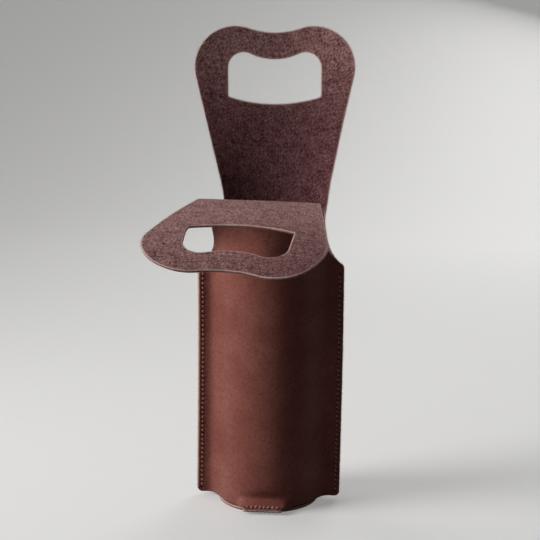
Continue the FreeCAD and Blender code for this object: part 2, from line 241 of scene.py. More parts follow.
def drawPanel(bm):
    lobeZ = hide["top"] - hide["lobeRadius"]
    dipZ, _, dipHalf = hollowBetweenLobes(hide["lobeX"], lobeZ, hide["lobeRadius"], hide["dip"])
    flareX = hide["neckHalf"] + hide["flareRadius"]
    across, up = flareX - hide["lobeX"], lobeZ - foldStart
    reach = hide["flareRadius"] + hide["lobeRadius"]
    lean = math.atan2(up, across) - math.acos(reach / math.hypot(across, up))
    holeLobeX = hide["holeHalf"] - hide["holeLobe"]
    holeTop = hide["top"] - hide["gripWidth"]
    holeLobeZ = holeTop - hide["holeLobe"]
    holeBottom = holeTop - hide["holeHeight"]
    holeDipZ, holeDipRadius, holeDipHalf = hollowBetweenLobes(
        holeLobeX, holeLobeZ, hide["holeLobe"], hide["holeDip"]
    )
    sagRadius = (hide["holeHalf"]**2 + hide["holeSag"]**2) / (2 * hide["holeSag"])
    sagHalf = math.asin(hide["holeHalf"] / sagRadius)
    shoulderTurn = math.asin((neckHeight - hide["seamHeight"]) / hide["shoulderRadius"])
    corners = []

    first = tip = bm.verts.new((0, 0, tongueEnd))
    tip = drawLine(bm, tip, hide["tongueHalf"], tongueEnd)
    corners.append((tip, hide["tongueCorner"]))
    tip = drawLine(bm, tip, hide["tongueHalf"], hide["bottom"])
    corners.append((tip, hide["tongueRoot"]))
    tip = drawLine(bm, tip, hide["flangeEdge"], hide["bottom"])
    corners.append((tip, hide["flangeCorner"]))
    tip = drawLine(bm, tip, hide["flangeEdge"], hide["seamHeight"])
    corners.append((tip, hide["flangeCorner"] * math.tan(shoulderTurn / 2)))
    tip = drawArc(bm, tip, hide["neckHalf"] + hide["shoulderRadius"], neckHeight, -shoulderTurn)
    tip = drawLine(bm, tip, hide["neckHalf"], foldStart)
    tip = drawArc(bm, tip, flareX, foldStart, -lean)
    tip = drawLine(bm, tip, hide["lobeX"] + hide["lobeRadius"] * math.cos(lean),
                   lobeZ - hide["lobeRadius"] * math.sin(lean))
    tip = drawArc(bm, tip, hide["lobeX"], lobeZ, lean + math.pi / 2 + dipHalf)
    tip = drawArc(bm, tip, 0, dipZ, -dipHalf)
    tip = drawLine(bm, tip, 0, holeDipZ - holeDipRadius)
    tip = drawArc(bm, tip, 0, holeDipZ, holeDipHalf)
    tip = drawArc(bm, tip, holeLobeX, holeLobeZ, -holeDipHalf - math.pi / 2)
    tip = drawLine(bm, tip, hide["holeHalf"], holeBottom)
    corners.append((tip, hide["holeCorner"] * math.tan((math.pi / 2 - sagHalf) / 2)))
    tip = drawArc(bm, tip, 0, holeBottom - hide["holeSag"] + sagRadius, -sagHalf)
    bm.edges.new((tip, first))
    return corners


def drawBase(bm):
    radius = base["radius"]
    tabZ = math.sqrt(radius**2 - hide["tongueHalf"]**2)
    corners = []
    first = tip = bm.verts.new((0, 0, -hide["tongueReach"]))
    tip = drawLine(bm, tip, hide["tongueHalf"], -hide["tongueReach"])
    corners.append((tip, hide["tongueCorner"]))
    tip = drawLine(bm, tip, hide["tongueHalf"], -tabZ)
    tip = drawArc(bm, tip, 0, 0, 2 * math.asin(tabZ / radius))
    tip = drawLine(bm, tip, hide["tongueHalf"], hide["tongueReach"])
    corners.append((tip, hide["tongueCorner"]))
    tip = drawLine(bm, tip, 0, hide["tongueReach"])
    bm.edges.new((tip, first))
    return corners


def everyPart(bm):
    return bm.verts[:] + bm.edges[:] + bm.faces[:]


def sliceSheet(bm, normal, places):
    for place in places:
        bmesh.ops.bisect_plane(bm, geom=everyPart(bm), dist=cutting["snap"],
                               plane_co=normal * place, plane_no=normal)


def cutSheet(draw, acrossLines, alongLines):
    bm = bmesh.new()
    rim = bm.verts.layers.float.new("rim")  # 0 on the cut edge, 2 past the rounded rim
    corners = draw(bm)
    bmesh.ops.edgeloop_fill(bm, edges=bm.edges[:])
    for corner, offset in corners:
        bmesh.ops.bevel(bm, geom=[corner], offset=offset, offset_type="OFFSET", affect="VERTICES",
                        segments=cutting["cornerSteps"], profile=0.5, material=-1)
    for step, width in enumerate(cutting["roundIn"]):
        inner = max(bm.faces, key=lambda face: len(face.verts))
        bmesh.ops.inset_individual(bm, faces=[inner], thickness=width, use_even_offset=True)
        inner = max(bm.faces, key=lambda face: face.calc_area())
        for vert in inner.verts:
            vert[rim] = step + 1
            if vert.co.x < 1.05 * width:  # the middle line is no cut
                vert.co.x = 0
        flat = [face for face in bm.faces if all(vert.co.x < 0.001 for vert in face.verts)]
        bmesh.ops.delete(bm, geom=flat, context="FACES")
    sliceSheet(bm, Vector((1, 0, 0)), acrossLines)
    sliceSheet(bm, Vector((0, 0, 1)), alongLines)
    bmesh.ops.mirror(bm, geom=everyPart(bm), axis="X", merge_dist=cutting["merge"] / 2)
    bmesh.ops.remove_doubles(bm, verts=bm.verts[:], dist=cutting["merge"])
    bmesh.ops.recalc_face_normals(bm, faces=bm.faces[:])
    edge = bm.verts.layers.float.new("edge")  # distance to the nearest cut, for wear and nap
    cuts = [vert for vert in bm.verts if vert.is_boundary]
    tree = kdtree.KDTree(len(cuts))
    for index, vert in enumerate(cuts):
        tree.insert(vert.co, index)
    tree.balance()
    for vert in bm.verts:
        vert[edge] = tree.find(vert.co)[2]
    thicken(bm, rim)
    return bm


def thicken(bm, rim):
    bmesh.ops.solidify(bm, geom=bm.faces[:], thickness=hide["thickness"])
    middle = sum(vert.co.y for vert in bm.verts) / len(bm.verts)
    for vert in bm.verts:
        side = math.copysign(1, vert.co.y - middle)  # -1 grain side, 1 flesh side
        level = vert[rim]
        drops = cutting["grainDrop"] if side < 0 else cutting["fleshDrop"]
        drop = 0.0
        if level < 1:
            drop = drops[0] + (drops[1] - drops[0]) * level
        elif level < 2:
            drop = drops[1] * (2 - level)
        vert.co.y = side * (halfThickness - drop)
    walls = [edge for edge in bm.edges if all(vert[rim] < 0.01 for vert in edge.verts)
             and edge.verts[0].co.y * edge.verts[1].co.y < 0]
    bmesh.ops.subdivide_edges(bm, edges=walls, cuts=1, use_grid_fill=True)
    for vert in bm.verts:  # a knife leaves the cut a little ragged
        if vert[rim] < 0.5 and abs(vert.co.x) > 0.01:
            vert.co += noise.noise_vector(vert.co * cutting["raggedScale"]) * cutting["ragged"]


# Where the leather goes: the flat cut is wrapped, turned at the neck, folded and turned out at the foot

runX = hide["flangeRoot"]
runY = hide["flangeDepth"] + hide["flangeBend"]
runReach = math.acos((hide["wallRadius"] + hide["flangeBend"]) / math.hypot(runX, runY))
runLean = math.atan2(runY, runX) + runReach
arcEnd = hide["wallRadius"] * math.cos(runLean)
bendEnd = runX - hide["flangeBend"] * math.cos(runLean)
heel = {"tuck": 2.5, "height": 12.2, "spread": 4.8, "width": 18.0}  # drawn in above the turned-out foot
tongueBent = hide["tongueBend"] * (1 - math.cos(hide["tongueTurn"]))
tongueLip = (hide["tongueReach"] - hide["wallRadius"] - tongueBent) / math.sin(hide["tongueTurn"])
tongueEnd = hide["tongueTop"] - hide["tongueBend"] * hide["tongueTurn"] - tongueLip


def wallDepth(x):
    across = abs(x)
    if across <= arcEnd:
        return math.sqrt(hide["wallRadius"]**2 - across**2)
    if across <= bendEnd:
        return hide["wallRadius"] * math.sin(runLean) - (across - arcEnd) / math.tan(runLean)
    if across < runX:
        return runY - math.sqrt(hide["flangeBend"]**2 - (across - runX)**2)
    return hide["flangeDepth"]


def hollow(across, along):  # how far behind the flat neck the leather still lies
    roundTo = hide["seamHeight"] + hide["stayRound"] * max(1 - (across / hide["roundHalf"])**2, 0)
    flat = ease((along - roundTo) / (foldStart + hide["flatBy"] - roundTo))
    return (hide["wallRadius"] - wallDepth(across)) * (1 - flat)


def wallPoint(across, along, bend):
    turned = ease((along - hide["seamHeight"]) / (foldStart - hide["turnedBy"] - hide["seamHeight"]))
    depth = hide["wallRadius"] - hollow(across, along) + math.tan(bend["twist"]) * across * turned
    depth -= heel["tuck"] * bump(along - heel["height"], heel["spread"]) * bump(across, heel["width"])
    x = across * (1 - (1 - math.cos(bend["twist"])) * turned) + bend["shift"] * turned
    point = Vector((x, -depth, along))
    below = hide["tongueTop"] - along
    turnedOut = 1 - ease((abs(across) - hide["tongueHalf"]) / hide["tongueFade"])
    if below > 0 and turnedOut > 0:
        turn = min(below / hide["tongueBend"], hide["tongueTurn"])
        run = below - hide["tongueBend"] * turn
        out = hide["tongueBend"] * (1 - math.cos(turn)) + run * math.sin(turn)
        reach = hide["tongueReach"] - hide["wallRadius"]
        out *= 1 + (hide["wallRadius"] - depth) / reach  # keeps the lip straight
        drop = hide["tongueBend"] * math.sin(turn) + run * math.cos(turn)
        point = point.lerp(Vector((x, -depth - out, hide["tongueTop"] - drop)), turnedOut)
    return point


def foldPoint(across, along, bend):
    lean, rise = bend["tilt"], along - foldStart
    level = across * math.cos(lean) - rise * math.sin(lean)  # along the fold line
    run = across * math.sin(lean) + rise * math.cos(lean)
    turn = min(max(run, 0) / bend["tightRadius"], bend["tightTurn"])
    out = bend["tightRadius"] * (1 - math.cos(turn))
    up = bend["tightRadius"] * math.sin(turn) + min(run, 0)
    rest = run - bend["tightRadius"] * bend["tightTurn"]
    if rest > 0 and bend["slackRadius"]:
        last = turn + rest / bend["slackRadius"]
        out += bend["slackRadius"] * (math.cos(turn) - math.cos(last))
        up += bend["slackRadius"] * (math.sin(last) - math.sin(turn))
    elif rest > 0:
        up += rest
    inward = hollow(across, along)
    out -= inward * math.cos(turn)
    up += inward * math.sin(turn)
    x = level * math.cos(lean) + up * math.sin(lean)
    z = up * math.cos(lean) - level * math.sin(lean)
    drift = bend["drift"] * ease(rise / give["driftOver"])
    neck = Vector((bend["shift"] + drift, -hide["wallRadius"], foldStart))
    return neck + Matrix.Rotation(-bend["twist"], 3, "Z") @ Vector((x, -out, z))


def settle(point):
    flange = max(-point.x - hide["flangeRoot"], 0)
    straight = ease((point.z - hide["seamHeight"] + hide["turnEnd"]) / hide["turnFade"])
    flange *= flange / (flange + hide["turnSoft"]) * (1 - straight)
    share = min(max(point.z / hide["seamHeight"], 0), 1)
    return point + Vector((hide["sway"] * math.sin(math.pi / 2 * share), -hide["flangeTurn"] * flange, 0))


def leatherPoint(across, along, bend):
    onFold = (along - foldStart) * math.cos(bend["tilt"]) + across * math.sin(bend["tilt"]) > 0
    return foldPoint(across, along, bend) if onFold else wallPoint(across, along, bend)


def leatherNormal(across, along, bend):
    step = 0.4
    sideways = leatherPoint(across + step, along, bend) - leatherPoint(across - step, along, bend)
    upwards = leatherPoint(across, along + step, bend) - leatherPoint(across, along - step, bend)
    return sideways.cross(upwards).normalized()


# How the leather gives: soft unevenness, lobes that curl, needle holes drawn in by the thread

give = {
    "wave": 0.35,
    "handleWave": 0.9,
    "waveLength": 46.0,
    "waveStretch": 1.6,
    "freeOver": 80.0,  # the leather is free above the seam, held by it at the sides, and stiff at the foot
    "heldFrom": 38.0,
    "heldFade": 12.0,
    "stiffTo": 12.0,
    "stiffFade": 30.0,
    "halfWidth": 60.0,
    "driftOver": 110.0,
    "curlFrom": 20.0,
    "curlOver": 120.0,
    "curlPower": 2.5,
    "curlSide": 1.5,
    "sagAt": 0.5,
    "sagSpread": 0.35,
    "cupOver": 100.0,
    "cupFrom": 8.0,
    "cupFade": 45.0,
    "droopOver": 22.0,
    "spareFrom": 1.0,
    "spareTop": 10.0,
    "flareTop": 8.0,
    "flareFade": 14.0,
    "stretchFrom": 25.0,
    "stretchFade": 70.0,
    "stretchWidth": 20.0,
    "bowAt": 346.0,
    "bowWidth": 9.0,
    "bowLength": 12.0,
}


def unevenness(across, along, seed):
    free = ease((along - hide["seamHeight"]) / give["freeOver"])
    held = 1 - ease((abs(across) - give["heldFrom"]) / give["heldFade"])
    keep = held + (1 - held) * free
    keep *= ease((along - give["stiffTo"]) / give["stiffFade"])
    size = give["wave"] + (give["handleWave"] - give["wave"]) * free
    spot = Vector((across / give["waveLength"], along / (give["waveStretch"] * give["waveLength"]), seed))
    return keep * size * noise.noise(spot)


def curl(across, along, bend):
    side, aside = ("left" if across < 0 else "right"), across / give["halfWidth"]
    out = max(along - foldStart - give["curlFrom"], 0) / give["curlOver"]
    raised = bend[side + "Curl"] * out**give["curlPower"] * abs(aside)**give["curlSide"]
    sunk = bend["leftSag"] * max(-aside, 0) * bump(out - give["sagAt"], give["sagSpread"])
    opened = ease((along - foldStart) / give["cupOver"])
    cup = bend["neckCup"] + (bend[side + "Cup"] - bend["neckCup"]) * opened
    cup *= ease((along - hide["seamHeight"] - give["cupFrom"]) / give["cupFade"]) * aside**2
    drooped = bend["droop"] * ease((along - hide["top"] + hide["gripWidth"]) / give["droopOver"])
    return raised + sunk + cup + drooped


tabSeam = tongueEnd + sewing["tabMargin"]
tabHalf = sewing["tabPitch"] * sewing["tabCount"] / 2
seamTop = sewing["seamBottom"] + sewing["pitch"] * sewing["count"]


def needleMark(off, place, first, pitch, count):
    index = min(max(round((place - first) / pitch), 0), count)
    hole = first + pitch * index
    pierced = bump(math.hypot(off, place - hole), sewing["dimpleRadius"])
    return sewing["furrow"] * bump(off, sewing["furrowRadius"]), pierced


def sewnIn(across, along):
    furrow = pierced = 0.0
    off = abs(across) - sewing["seamX"]
    onSeam = sewing["seamBottom"] - sewing["past"] < along < seamTop + sewing["past"]
    if onSeam and abs(off) < sewing["near"]:
        furrow, pierced = needleMark(off, along, sewing["seamBottom"], sewing["pitch"], sewing["count"])
    if abs(across) < hide["tongueHalf"] and along < tabSeam + sewing["near"]:
        off = along - tabSeam
        furrow, pierced = needleMark(off, across, -tabHalf, sewing["tabPitch"], sewing["tabCount"])
    return furrow + sewing["dimple"] * pierced, pierced


def panelLines():
    acrossLines = []
    spot = cutting["cell"]
    while spot < hide["lobeX"] + hide["lobeRadius"]:
        if abs(spot - sewing["seamX"]) > cutting["seamClear"]:
            acrossLines.append(spot)
        spot += cutting["cell"]
    acrossLines += [sewing["seamX"] + off for off in cutting["seamLines"]]
    alongLines = []
    spot = sewing["seamBottom"] - cutting["startBelow"]
    while spot < hide["top"]:
        alongLines.append(spot)
        if spot < sewing["seamBottom"] - 0.1:
            spot += cutting["tongueCell"]
        elif spot < hide["seamHeight"]:
            spot += cutting["stitchCell"]
        else:
            spot += cutting["cell"]
    return sorted(acrossLines), alongLines


def markSides(bm):
    for face in bm.faces:
        face.smooth = True
        outermost = max(abs(vert.co.y) for vert in face.verts)
        if abs(face.normal.y) < cutting["cutFacing"] and outermost < halfThickness - cutting["cutDepth"]:
            face.material_index = 2  # cut edge
        else:
            face.material_index = 0 if face.calc_center_median().y < 0 else 1  # grain, flesh


def skive(along):
    return 1 - hide["skive"] * (1 - ease((along - tongueEnd) / hide["skiveOver"]))


def placeLeather(across, along, lift, bend):
    lift += unevenness(across, along, bend["seed"]) + curl(across, along, bend)
    if along < hide["seamHeight"] + give["spareTop"]:
        spareStart = sewing["seamX"] + give["spareFrom"]
        spare = max(across - spareStart, 0) / (hide["flangeEdge"] - spareStart)
        across += bend["spareLeft"] * ease(spare)
        closed = ease((along - hide["seamHeight"] + give["flareTop"]) / give["flareFade"])
        lift += bend["flareLeft"] * spare**2 * (1 - closed)
    if across < 0:
        outer = ease((-across - hide["holeHalf"]) / give["stretchWidth"])
        outer *= ease((along - foldStart - give["stretchFrom"]) / give["stretchFade"])
        across *= 1 + bend["leftStretch"] * outer
        bow = bend["holeBow"] * bump(across + hide["holeHalf"], give["bowWidth"])
        across -= bow * bump(along - give["bowAt"], give["bowLength"])
    point = leatherPoint(across, along, bend) + leatherNormal(across, along, bend) * lift
    return settle(bend["facing"] @ point)


paintedShade = {  # where shade is painted into the nap
    "neckTo": 299.0,
    "neckFade": 92.0,
    "gripFrom": -25.0,
    "gripWidth": 65.0,
    "gripStart": 300.0,
    "gripFade": 60.0,
    "cloud": 16.0,  # it starts unevenly
    "cloudLength": 34.0,
}


# painted shade: darker at the neck and at the right of the grip, with an uneven start
def paintShade(across, along, bend):
    along += paintedShade["cloud"] * noise.noise(Vector((across, along, bend["seed"])) / paintedShade["cloudLength"])
    neck = bend["neckShade"] * (1 - ease((along - paintedShade["neckTo"]) / paintedShade["neckFade"]))
    grip = bend["gripShade"] * ease((across - paintedShade["gripFrom"]) / paintedShade["gripWidth"])
    return neck + grip * ease((along - paintedShade["gripStart"]) / paintedShade["gripFade"])


def makePanel(name, bend):
    bm = cutSheet(drawPanel, *panelLines())
    pattern = bm.verts.layers.float_vector.new("pattern")
    # how near a needle hole, for the painted shade in the holes
    needle = bm.verts.layers.float.new("needle")
    shaded = bm.verts.layers.float.new("shaded")
    markSides(bm)
    rooms = [(face.calc_center_median(), face.normal.copy(), face.calc_area(), face.material_index)
             for face in bm.faces if face.material_index > 0]
    rooms.sort(key=lambda room: tuple(round(part, 2) for part in room[0].zxy))
    for vert in bm.verts:
        across, outward, along = vert.co.x, -vert.co.y, vert.co.z
        vert[pattern] = (across, along, outward)
        vert[shaded] = paintShade(across, along, bend)
        lift = outward * skive(along)
        if outward > sewing["grainSide"]:
            depth, vert[needle] = sewnIn(across, along)
            lift -= depth
        vert.co = placeLeather(across, along, lift, bend)
    return finishPiece(name, bm, [grainLeather, napLeather, cutLeather]), rooms


# Loose fibres: nap brushed one way on the flesh side of the handles, and a fray along their cut edges

fuzz = {
    "from": 205.0,  # below it only the flanges fray
    "napShare": 0.3,  # fibres per square millimetre
    "scatter": 0.45,
    "splay": 0.8,
    "cutShare": 1.1,
    "shortest": 0.6,
    "longest": 1.8,
    "thickness": 0.13,
    "sides": 3,
    "brushed": math.radians(-32),
    "stray": math.radians(30),
    "rise": (0.12, 0.5),
    "sink": 0.15,
}


def fibreShape():
    bm = bmesh.new()
    bmesh.ops.create_cone(bm, cap_ends=True, segments=fuzz["sides"], radius1=fuzz["thickness"],
                          radius2=0, depth=1)
    bmesh.ops.translate(bm, verts=bm.verts[:], vec=(0, 0, 0.5))
    return meshFrom("fibre", bm)


def fibreDirection(normal, onCut, luck):
    if onCut:
        aim = normal + Vector((luck.uniform(-1, 1), luck.uniform(0, 1), luck.uniform(-1, 1))) * fuzz["splay"]
    else:
        turn = fuzz["brushed"] + luck.gauss(0, 1) * fuzz["stray"]
        aim = Vector((math.sin(turn), luck.uniform(*fuzz["rise"]), math.cos(turn)))
    return aim.normalized()


def makeFibres(name, rooms, bend):
    luck = random.Random(name)
    template = fibreShape()
    bm = bmesh.new()
    pattern = bm.verts.layers.float_vector.new("pattern")
    shaded = bm.verts.layers.float.new("shaded")
    for centre, normal, area, side in rooms:
        onCut = side == 2
        if centre.z < fuzz["from"] and not (onCut and abs(centre.x) > hide["flangeRoot"]):
            continue
        luck.seed(f"{name} {centre.x:.2f} {centre.y:.2f} {centre.z:.2f}")  # the same fibres each run
        wanted = area * fuzz["cutShare" if onCut else "napShare"]
        reach = 0 if onCut else fuzz["scatter"] * area**0.5
        for _ in range(int(wanted + luck.random())):
            spot = centre + Vector((luck.uniform(-1, 1), 0, luck.uniform(-1, 1))) * reach
            aim = fibreDirection(normal, onCut, luck)
            length = luck.uniform(fuzz["shortest"], fuzz["longest"])
            turned = aim.to_track_quat("Z", "Y").to_matrix()
            size = Matrix.Diagonal((1, 1, length))
            before = len(bm.verts)
            bm.from_mesh(template)
            bm.verts.ensure_lookup_table()
            for vert in bm.verts[before:]:
                place = spot - aim * fuzz["sink"] + turned @ size @ vert.co
                vert[pattern] = (spot.x, spot.z, 0)
                vert[shaded] = 0 if onCut else paintShade(spot.x, spot.z, bend)
                vert.co = placeLeather(place.x, place.z, -place.y, bend)
    bpy.data.meshes.remove(template)
    return finishPiece(name, bm, [looseFibre])


def meshFrom(name, bm):
    mesh = bpy.data.meshes.new(name)
    bm.to_mesh(mesh)
    bm.free()
    return mesh


def addObject(name, data):
    thing = bpy.data.objects.new(name, data)
    bpy.context.scene.collection.objects.link(thing)
    return thing


def finishPiece(name, bm, materials):
    bmesh.ops.scale(bm, vec=Vector((toMetres, toMetres, toMetres)), verts=bm.verts[:])
    mesh = meshFrom(name, bm)
    for material in materials:
        mesh.materials.append(material)
    return addObject(name, mesh)


# Materials. The pattern attribute holds each point's place on the flat hide, in millimetres.

finish = {
    "grainDeep": (0.207, 0.066, 0.051, 1),
    "grainWarm": (0.27, 0.099, 0.078, 1),
    "grainPore": (0.11, 0.033, 0.027, 1),
    "grainScuff": (0.4, 0.19, 0.155, 1),
    "grainEdge": (0.1, 0.024, 0.02, 1),
    "grainRoughness": 0.44,
    # painted shade inside the needle holes
    "needleHoleShade": (0.012, 0.004, 0.004, 1),
    "napDark": (0.05, 0.02, 0.022, 1),
    "napMiddle": (0.285, 0.132, 0.13, 1),
    "napLight": (0.76, 0.47, 0.425, 1),
    # colour of the painted shade on the nap
    "napShaded": (0.36, 0.22, 0.27, 1),
    "fibre": (0.56, 0.34, 0.3, 1),
    "cutDark": (0.2, 0.09, 0.078, 1),
    "cutLight": (0.5, 0.31, 0.27, 1),
    "frayLight": (0.72, 0.5, 0.44, 1),
    "threadDark": (0.25, 0.083, 0.07, 1),
    "threadLight": (0.5, 0.228, 0.188, 1),
    "floor": (0.52, 0.515, 0.505, 1),
    "floorBounce": (0.16, 0.156, 0.152, 1),  # what the floor gives back to the leather
}


def feed(tree, socket, value):
    if hasattr(value, "is_linked"):
        tree.links.new(value, socket)
    else:
        socket.default_value = value


def addNode(tree, kind, inputs=None, **settings):
    node = tree.nodes.new(kind)
    for key, value in settings.items():
        setattr(node, key, value)
    for key, value in (inputs or {}).items():
        feed(tree, node.inputs[key], value)
    return node


def addNoise(tree, place, scale, detail, roughness=0.5):
    inputs = {"Vector": place, "Scale": scale, "Detail": detail, "Roughness": roughness}
    return addNode(tree, "ShaderNodeTexNoise", inputs).outputs[0]


def readMark(tree, name, kind="Fac"):
    return addNode(tree, "ShaderNodeAttribute", attribute_name=name).outputs[kind]


def mixColour(tree, factor, first, second, how="MIX"):
    inputs = {0: factor, 6: first, 7: second}
    return addNode(tree, "ShaderNodeMix", inputs, data_type="RGBA", blend_type=how).outputs[2]


def work(tree, how, first, second=0.5, third=0.5):
    return addNode(tree, "ShaderNodeMath", {0: first, 1: second, 2: third}, operation=how).outputs[0]


def spread(tree, value, low, high, toLow=0.0, toHigh=1.0):
    node = addNode(tree, "ShaderNodeMapRange", {0: value, 1: low, 2: high, 3: toLow, 4: toHigh})
    node.interpolation_type = "SMOOTHSTEP"
    return node.outputs[0]


def newGroup(name, inputs, outputs):
    group = bpy.data.node_groups.new(name, "ShaderNodeTree")
    for label, kind in inputs:
        group.interface.new_socket(name=label, in_out="INPUT", socket_type=kind)
    for label, kind in outputs:
        group.interface.new_socket(name=label, in_out="OUTPUT", socket_type=kind)
    start = group.nodes.new("NodeGroupInput")
    end = group.nodes.new("NodeGroupOutput")
    return group, start.outputs, end.inputs


def useGroup(tree, group, inputs):
    return addNode(tree, "ShaderNodeGroup", inputs, node_tree=group).outputs


def makeNapGroup():
    # loose fibres: fine specks, brushed streaks and soft patches
    group, given, result = newGroup(
        "looseNap",
        [("Place", "NodeSocketVector"), ("Speck", "NodeSocketFloat"), ("Patch", "NodeSocketFloat")],
        [("Tone", "NodeSocketFloat"), ("Height", "NodeSocketFloat")],
    )
    place = given["Place"]
    brush = {"Vector": place, "Scale": (0.85, 2.8, 1.0), "Rotation": (0, 0, math.radians(36))}
    brushed = addNode(group, "ShaderNodeMapping", brush, vector_type="TEXTURE").outputs[0]
    fine = addNoise(group, place, scale=given["Speck"], detail=3.0, roughness=0.62)
    streak = addNoise(group, brushed, scale=1.0, detail=3.0, roughness=0.6)
    patch = addNoise(group, place, scale=given["Patch"], detail=4.0, roughness=0.55)
    tone = work(group, "MULTIPLY", patch, 0.18)
    tone = work(group, "MULTIPLY_ADD", streak, 0.52, tone)
    tone = work(group, "MULTIPLY_ADD", fine, 0.38, tone)
    group.links.new(spread(group, tone, 0.39, 0.71), result["Tone"])
    group.links.new(work(group, "ADD", fine, streak), result["Height"])
    return group


def makePoreGroup():
    # fine pebbled grain with hair pores
    group, given, result = newGroup(
        "hidePores", [("Place", "NodeSocketVector")],
        [(label, "NodeSocketFloat") for label in ("Height", "Cloud", "Scuff", "Pore")],
    )
    place = given["Place"]
    drag = {"Vector": place, "Scale": (0.6, 0.05, 0.6), "Rotation": (0, 0, math.radians(7))}
    dragged = addNode(group, "ShaderNodeMapping", drag).outputs[0]
    pebble = addNode(group, "ShaderNodeTexVoronoi", {"Vector": place, "Scale": 1.05}, feature="SMOOTH_F1")
    pore = addNoise(group, place, scale=2.6, detail=2.0)
    height = work(group, "MULTIPLY_ADD", pore, 0.5, pebble.outputs["Distance"])
    group.links.new(height, result["Height"])
    cloud = addNoise(group, place, scale=0.028, detail=5.0, roughness=0.55)
    group.links.new(spread(group, cloud, 0.3, 0.7), result["Cloud"])
    scratch = addNoise(group, dragged, scale=1.6, detail=4.0, roughness=0.7)
    group.links.new(spread(group, scratch, 0.6, 0.78), result["Scuff"])
    dot = addNoise(group, place, scale=0.62, detail=4.0, roughness=0.7)
    group.links.new(spread(group, dot, 0.42, 0.68), result["Pore"])
    return group


def makeEdgeGroup():
    # how near the cut edge is, broken up by loose fibres
    group, given, result = newGroup(
        "nearCut",
        [("Place", "NodeSocketVector"), ("Distance", "NodeSocketFloat"), ("Width", "NodeSocketFloat")],
        [("Mask", "NodeSocketFloat")],
    )
    ragged = work(group, "SUBTRACT", addNoise(group, given["Place"], scale=1.3, detail=3.0), 0.5)
    pushed = work(group, "MULTIPLY_ADD", ragged, given["Width"], given["Distance"])
    share = work(group, "DIVIDE", pushed, given["Width"])
    group.links.new(spread(group, share, 0.0, 1.0, 1.0, 0.0), result["Mask"])
    return group


napGroup = makeNapGroup()
poreGroup = makePoreGroup()
edgeGroup = makeEdgeGroup()


def startMaterial(name, settings):
    material = bpy.data.materials.new(name)
    material.use_nodes = True
    tree = material.node_tree
    tree.nodes.clear()
    shader = addNode(tree, "ShaderNodeBsdfPrincipled", settings)
    output = tree.nodes.new("ShaderNodeOutputMaterial")
    tree.links.new(shader.outputs[0], output.inputs["Surface"])
    return material, tree, shader


def addBump(tree, shader, height, strength, distance):
    node = addNode(tree, "ShaderNodeBump", {"Height": height, "Strength": strength, "Distance": distance})
    tree.links.new(node.outputs[0], shader.inputs["Normal"])


def makeGrainLeather():
    material, tree, shader = startMaterial("grainLeather", {"Specular IOR Level": 0.07})
    place, distance = readMark(tree, "pattern", "Vector"), readMark(tree, "edge")
    pores = useGroup(tree, poreGroup, {"Place": place})
    worn = useGroup(tree, edgeGroup, {"Place": place, "Distance": distance, "Width": 1.6})["Mask"]
    colour = mixColour(tree, pores["Cloud"], finish["grainDeep"], finish["grainWarm"])
    colour = mixColour(tree, work(tree, "MULTIPLY", pores["Scuff"], 0.16), colour, finish["grainScuff"])
    colour = mixColour(tree, work(tree, "MULTIPLY", pores["Pore"], 0.6), colour, finish["grainPore"])
    colour = mixColour(tree, work(tree, "MULTIPLY", worn, 0.5), colour, finish["grainEdge"])
    # painted shade darkens the needle holes
    colour = mixColour(tree, spread(tree, readMark(tree, "needle"), 0.15, 0.75), colour, finish["needleHoleShade"])
    tree.links.new(colour, shader.inputs["Base Color"])
    rough = work(tree, "MULTIPLY_ADD", pores["Cloud"], -0.08, finish["grainRoughness"] + 0.04)
    tree.links.new(work(tree, "MULTIPLY_ADD", pores["Scuff"], 0.1, rough), shader.inputs["Roughness"])
    addBump(tree, shader, pores["Height"], strength=0.16, distance=0.00012)
    return material


def makeNapLeather():
    material, tree, shader = startMaterial("napLeather", {
        "Roughness": 0.93, "Specular IOR Level": 0.16,
        "Sheen Weight": 0.16, "Sheen Roughness": 0.5, "Sheen Tint": (0.9, 0.66, 0.6, 1),
    })
    place, distance = readMark(tree, "pattern", "Vector"), readMark(tree, "edge")
    nap = useGroup(tree, napGroup, {"Place": place, "Speck": 0.95, "Patch": 0.14})
    frayed = useGroup(tree, edgeGroup, {"Place": place, "Distance": distance, "Width": 1.5})["Mask"]
    low = spread(tree, nap["Tone"], 0.0, 0.55)
    high = spread(tree, nap["Tone"], 0.45, 1.0)
    colour = mixColour(tree, low, finish["napDark"], finish["napMiddle"])
    colour = mixColour(tree, work(tree, "MULTIPLY", high, 0.7), colour, finish["napLight"])
    # painted shade darkens the nap at the neck and the grip
    colour = mixColour(tree, readMark(tree, "shaded"), colour, finish["napShaded"], "MULTIPLY")
    colour = mixColour(tree, work(tree, "MULTIPLY", frayed, 0.85), colour, finish["frayLight"])
    tree.links.new(colour, shader.inputs["Base Color"])
    addBump(tree, shader, nap["Height"], strength=0.75, distance=0.0006)
    return material


def makeCutLeather():
    material, tree, shader = startMaterial("cutLeather", {"Roughness": 0.88, "Specular IOR Level": 0.2})
    place = readMark(tree, "pattern", "Vector")
    nap = useGroup(tree, napGroup, {"Place": place, "Speck": 2.2, "Patch": 0.3})
    colour = mixColour(tree, nap["Tone"], finish["cutDark"], finish["cutLight"])
    tree.links.new(colour, shader.inputs["Base Color"])
    addBump(tree, shader, nap["Height"], strength=0.6, distance=0.0003)
    return material


def makeLooseFibre():
    material, tree, shader = startMaterial("looseFibre", {"Roughness": 0.8, "Specular IOR Level": 0.2})
    place = readMark(tree, "pattern", "Vector")
    nap = useGroup(tree, napGroup, {"Place": place, "Speck": 0.95, "Patch": 0.14})
    colour = mixColour(tree, nap["Tone"], finish["napMiddle"], finish["fibre"])
    # the same painted shade on the loose fibres
    colour = mixColour(tree, readMark(tree, "shaded"), colour, finish["napShaded"], "MULTIPLY")
    tree.links.new(colour, shader.inputs["Base Color"])
    return material


